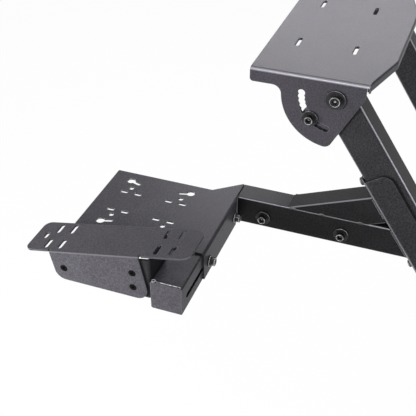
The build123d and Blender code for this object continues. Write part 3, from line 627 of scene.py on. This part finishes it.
def upright_seams(rail_low, rail_high, foot):
    """Where an upright stands on its rail, and along the sides of its gusset."""
    gusset_height, gusset_half_length, gusset_half_head = 130 * MM, 60 * MM, 22 * MM
    side_start, side_end = 33 * MM, 2 * MM
    high_share = 0.96
    top = rail_high.z
    half_foot = UPRIGHT_HALF_DEPTH / math.sin(UPRIGHT_LEAN)
    rear, front = foot.y - half_foot, foot.y + half_foot
    seams = []
    for y, way in ((rear, -1), (front, 1)):
        seams.append(((rail_low.x + BEAD_INSET, y, top), (rail_high.x - BEAD_INSET, y, top), (0, way, 1)))
    seams.append(((rail_low.x, rear, top), (rail_low.x, front, top), (-1, 0, 0.3)))
    gusset_top = foot - DOWN * gusset_height
    for way, low_share in ((-1, 0.62), (1, 0.45)):
        corner = Vector((rail_high.x, foot.y + way * gusset_half_length, top))
        seams.append((corner - UP * side_start, corner - UP * side_end, (1, way, 0)))
        shoulder = Vector((rail_high.x, gusset_top.y + way * gusset_half_head, gusset_top.z))
        seams.append((corner.lerp(shoulder, low_share), corner.lerp(shoulder, high_share), (1, way, 0.3)))
    return seams


def tie_seams():
    """The four sides of the tie's end, against the inner face of the upright."""
    half_side = 20 * MM
    half_seam = 16 * MM
    tie_low, tie_high = corners_of("upright_tie")
    end = (tie_low + tie_high) / 2
    end.x = tie_high.x
    seams = []
    for along, toward in ((-1, 0), (1, 0), (0, -1), (0, 1)):
        out = DOWN * along + TOWARD_DRIVER * toward
        way = DOWN * toward + TOWARD_DRIVER * along
        middle = end + out * half_side
        seams.append((middle - way * half_seam, middle + way * half_seam, out - RIGHT))
    return seams


def strut_and_bar_seams(rail_low, rail_high):
    """Where a strut meets its rail and its upright, and where the pedal bars meet the rail."""
    strut_low, strut_high = corners_of("right_strut")
    seams = []
    for y, z in ((strut_high.y, rail_high.z), (strut_low.y, strut_high.z)):
        seams.append(((rail_low.x + BEAD_INSET, y, z), (rail_high.x - BEAD_INSET, y, z), (0, 1, 1)))
    for node in ("rear_pedal_bar", "front_pedal_bar"):
        low, high = corners_of(node)
        for y, way in ((low.y, -1), (high.y, 1)):
            bead_foot, bead_head = (high.x, y, low.z + BEAD_INSET), (high.x, y, high.z - BEAD_INSET)
            seams.append((bead_foot, bead_head, (-1, way, 0)))
    return seams


def base_welds():
    """Beads where the tubes of the base frame and the uprights meet; both sides are alike."""
    shape = bmesh.new()
    rail_low, rail_high = corners_of("right_rail")
    pivot = joint_place("deck_tilt")
    foot = pivot + DOWN * ((pivot.z - rail_high.z) / math.sin(UPRIGHT_LEAN))
    seams = foot_bar_seams(rail_low, rail_high)
    seams += upright_seams(rail_low, rail_high, foot)
    seams += tie_seams()
    seams += strut_and_bar_seams(rail_low, rail_high)
    for seam in seams:
        start, end, out = (Vector(term) for term in seam)
        weld_bead(shape, start, end, out)
        weld_bead(shape, mirrored(start), mirrored(end), mirrored(out))
    add_piece("base_welds", shape, "stand", weld_coat)


def arm_welds():
    """Thin beads and tacks round the arm's brace, the bracket's web and the cross tube."""
    shape = bmesh.new()
    arm_low, arm_high = corners_of("side_arm")
    brace_low, brace_high = corners_of("arm_brace")
    tube_high = corners_of("cross_tube")[1]
    bracket_sheet = 4 * MM
    web = joint_place("deck_tilt") + TOWARD_DRIVER * (UPRIGHT_HALF_DEPTH + bracket_sheet)
    thin, tack = 1.3 * MM, 1.7 * MM
    inset = 3 * MM
    web_bead_share = 0.62
    tacks = ((0.02, 12 * MM), (0.33, 9 * MM), (0.72, 9 * MM))

    def on_web(x, z):
        """The point of the bracket's web at this x and height."""
        return Vector((x, web.y + DOWN.y / DOWN.z * (z - web.z), z))

    for x, way in ((arm_high.x, 1), (arm_low.x, -1)):
        arm_head = on_web(x, arm_high.z - inset)
        brace_head = on_web(x, brace_high.z - inset)
        brace_foot = brace_head.lerp(arm_head, web_bead_share)
        out = Vector((way, -0.8, 0))
        weld_bead(shape, on_web(x, arm_low.z + inset), arm_head, out, thin)
        weld_bead(shape, brace_foot, brace_head, out, thin)
        for share, length in tacks:
            at = Vector((x, brace_low.y + (brace_high.y - brace_low.y) * share, arm_high.z))
            weld_bead(shape, at, at + FORWARD * length, Vector((way, 0, 0.5)), tack)
        low_end = Vector((x, tube_high.y, arm_low.z + inset))
        high_end = Vector((x, tube_high.y, arm_high.z - inset))
        weld_bead(shape, low_end, high_end, Vector((way, 1, 0)), thin)
    left_end = on_web(brace_low.x + inset, brace_high.z)
    right_end = on_web(brace_high.x - inset, brace_high.z)
    weld_bead(shape, left_end, right_end, Vector((0, -0.6, 1)), thin)
    add_piece("arm_welds", shape, "stand", weld_coat)


def tube_end_details():
    """A ground weld line along the near cap's top edge and a small vent ring at its rear corner, both in
    bright steel as painted highlights, and a near-black disc inside the ring as the painted shade of the vent
    opening.
    """
    tube_low, tube_high = corners_of("cross_tube")
    cap_high = corners_of("cross_tube_caps")[1]
    # painted highlight: the weld line is bright steel
    seam = bmesh.new()
    start = Vector((tube_high.x, tube_low.y + 8 * MM, tube_high.z))
    end = Vector((tube_high.x, tube_high.y - 3 * MM, tube_high.z))
    weld_bead(seam, start, end, Vector((0.2, 0, 1)), radius=0.7 * MM, pitch=2.4 * MM)
    add_piece("cap_weld_highlight", seam, "stand", highlight_steel)
    # painted highlight: the vent ring is bright steel
    place = Vector((cap_high.x - 3.5 * MM, tube_low.y + 4 * MM, tube_high.z))
    ring_radius, ring_lift, bead_radius = 2.6 * MM, 0.2 * MM, 0.9 * MM
    ring = bmesh.new()
    turn_profile(ring, place, UP, arc_points((ring_radius, ring_lift), bead_radius, 0, 330, 11))
    add_piece("vent_ring_highlight", ring, "stand", highlight_steel)
    # painted shade: a near-black disc inside the vent ring stands for its dark opening
    radius, top, foot = 2.2 * MM, 3 * THIN_SKIN, THIN_SKIN
    vent_shade = bmesh.new()
    turn_profile(vent_shade, place, UP, [(AXIS_GAP, top), (radius, top), (radius, foot), (AXIS_GAP, foot)])
    add_piece("vent_hole_shade", vent_shade, "stand", screw_black)


def flatten_faces(mesh, *normals):
    """Flat shading on the faces that look along one of these normals, smooth corners between them."""
    for face in mesh.polygons:
        face.use_smooth = all(abs(face.normal.dot(normal)) < 0.99 for normal in normals)


def square_outline(low, high, corner, inset=0.0):
    """The (y, z) points of a tube's section with rounded corners."""
    points = []
    for turn, (y, z) in enumerate(((high.y, high.z), (low.y, high.z), (low.y, low.z), (high.y, low.z))):
        middle_y = y - math.copysign(corner, y - (low.y + high.y) / 2)
        middle_z = z - math.copysign(corner, z - (low.z + high.z) / 2)
        points += arc_points((middle_y, middle_z), corner - inset, 90 * turn, 90 * (turn + 1), 4)
    return points


def mitred_cross_tube():
    """The cross tube with its far end cut at 45 degrees behind the arm and closed by a welded cover."""
    cover = 3 * MM
    tube_corner = 3 * MM
    rim = 0.6 * MM
    arm_low = corners_of("side_arm")[0]
    tube_low, tube_high = corners_of("cross_tube")
    corner = Vector((arm_low.x, tube_high.y, 0))
    outward = Vector((-1, -1, 0)).normalized()
    flat_ways = (RIGHT, FORWARD, UP, outward)

    tube = copied_solids("cross_tube")
    everything = tube.verts[:] + tube.edges[:] + tube.faces[:]
    start = corner - outward * cover
    bmesh.ops.bisect_plane(tube, geom=everything, plane_co=start, plane_no=outward, clear_outer=True)
    piece = add_piece("cross_tube_mitred", tube, "stand", plate_coat)
    flatten_faces(piece.data, *flat_ways)
    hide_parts("cross_tube")

    middle_x = (tube_low.x + tube_high.x) / 2
    covers = copied_solids("cross_tube_caps")
    far_cap = [vert for vert in covers.verts if vert.co.x <= middle_x]
    bmesh.ops.delete(covers, geom=far_cap, context="VERTS")
    rings = []
    for inset, depth in ((rim, 0), (0, rim), (0, cover * math.sqrt(2))):
        ring = []
        for y, z in square_outline(tube_low, tube_high, tube_corner, inset):
            ring.append(covers.verts.new((corner.x + corner.y - y + depth, y, z)))
        rings.append(ring)
    for here, there in zip(rings, rings[1:]):
        bridge(covers, here, there)
    covers.faces.new(rings[0])
    covers.faces.new(rings[-1])
    bmesh.ops.remove_doubles(covers, verts=covers.verts, dist=0.01 * MM)
    piece = add_piece("cross_tube_covers", covers, "stand", plate_coat)
    flatten_faces(piece.data, *flat_ways)
    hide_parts("cross_tube_caps")


def deck_corner_welds():
    """Short beads down the deck's front corners, where the skirts meet the front lip."""
    deck_sheet = 4 * MM
    deck_front = 47 * MM
    lip = 13 * MM
    high = corners_of("wheel_deck")[1]
    corner = Vector((high.x - deck_sheet, joint_place("deck_tilt").y + deck_front, high.z))
    start, end, out = corner - UP * deck_sheet, corner - UP * lip, Vector((0.7, 1, 0))
    shape = bmesh.new()
    weld_bead(shape, start, end, out, radius=2 * MM)
    weld_bead(shape, mirrored(start), mirrored(end), mirrored(out), radius=2 * MM)
    add_piece("deck_corner_welds", shape, "deck", weld_coat)


def cap_moulding():
    """A raised ring in the middle of each moulded cap on the foot bars."""
    ring_radius, bead_radius = 9 * MM, 0.8 * MM
    shape = bmesh.new()
    for node in ("rear_bar_caps", "front_bar_caps"):
        low, high = corners_of(node)
        middle = (low + high) / 2
        for way, x in ((RIGHT, high.x), (-RIGHT, low.x)):
            place = Vector((x, middle.y, middle.z))
            turn_profile(shape, place, way, arc_points((ring_radius, 0), bead_radius, 0, 315, 7))
    add_piece("cap_rings", shape, "stand", cap_plastic)


def studio_floor():
    """A wide pale floor that keeps the stand's shadow and is white to the camera and in reflections."""
    mesh = bpy.data.meshes.new("floor")
    shape = bmesh.new()
    bmesh.ops.create_grid(shape, x_segments=1, y_segments=1, size=12)
    shape.to_mesh(mesh)
    shape.free()
    floor = bpy.data.objects.new("floor", mesh)
    bpy.context.scene.collection.objects.link(floor)
    look = Finish("studio_floor")
    look.set(Base_Color=(0.8, 0.8, 0.8, 1), Roughness=0.9)
    white = look.node("ShaderNodeEmission", sockets={"Color": WHITE, "Strength": 1.0})
    sockets = {0: 0.97 * look.seen(), 1: look.shader.outputs[0], 2: white.outputs[0]}
    joined = look.node("ShaderNodeMixShader", sockets=sockets)
    plug(look.tree.nodes["Material Output"].inputs["Surface"], joined.outputs[0])
    mesh.materials.append(look.material)


def studio_air(fill_strength):
    """Even light all round, white to the camera and in reflections."""
    world = bpy.data.worlds.new("studio")
    bpy.context.scene.world = world
    world.use_nodes = True
    air = Nodes(world.node_tree)
    fill = air.tree.nodes["Background"]
    plug(fill.inputs["Color"], WHITE)
    plug(fill.inputs["Strength"], fill_strength)
    white = air.node("ShaderNodeBackground", sockets={"Color": WHITE})
    sockets = {0: air.seen(), 1: fill.outputs[0], 2: white.outputs[0]}
    joined = air.node("ShaderNodeMixShader", sockets=sockets)
    plug(air.tree.nodes["World Output"].inputs["Surface"], joined.outputs[0])


def soft_box(name, place, aim, size, power, colour=(1, 1, 1), mirrored_in_gloss=True):
    """A rectangular softbox that faces a point; a low one is kept out of the gloss, so plates don't flare."""
    data = bpy.data.lights.new(name, "AREA")
    data.shape = "RECTANGLE"
    data.size, data.size_y = size
    data.energy = power
    data.color = colour
    lamp = bpy.data.objects.new(name, data)
    lamp.location = place
    lamp.rotation_mode = "QUATERNION"
    lamp.rotation_quaternion = (Vector(aim) - Vector(place)).to_track_quat("-Z", "Y")
    lamp.visible_glossy = mirrored_in_gloss
    bpy.context.scene.collection.objects.link(lamp)


coat_cad_nodes()
photo_camera()
dress_bolts()
base_welds()
arm_welds()
mitred_cross_tube()
tube_end_details()
deck_corner_welds()
cap_moulding()
studio_floor()
studio_air(fill_strength=0.12)
soft_box("key", (1.2, -1.35, 0.55), (0.3, -0.4, 0.5), (0.6, 0.5), 33, mirrored_in_gloss=False)
soft_box("sheen", (-1.0, -0.45, 1.35), (0.2, -0.35, 0.6), (1.0, 0.7), 19, (0.96, 0.94, 1))
soft_box("fold_light", (1.5, -0.6, 2.1), (0.25, -0.4, 0.5), (0.35, 0.35), 8)
soft_box("corner_light", (0.95, 1.5, 0.75), (0.2, -0.1, 0.5), (0.4, 0.4), 7)
bpy.context.scene.view_settings.view_transform = "Standard"
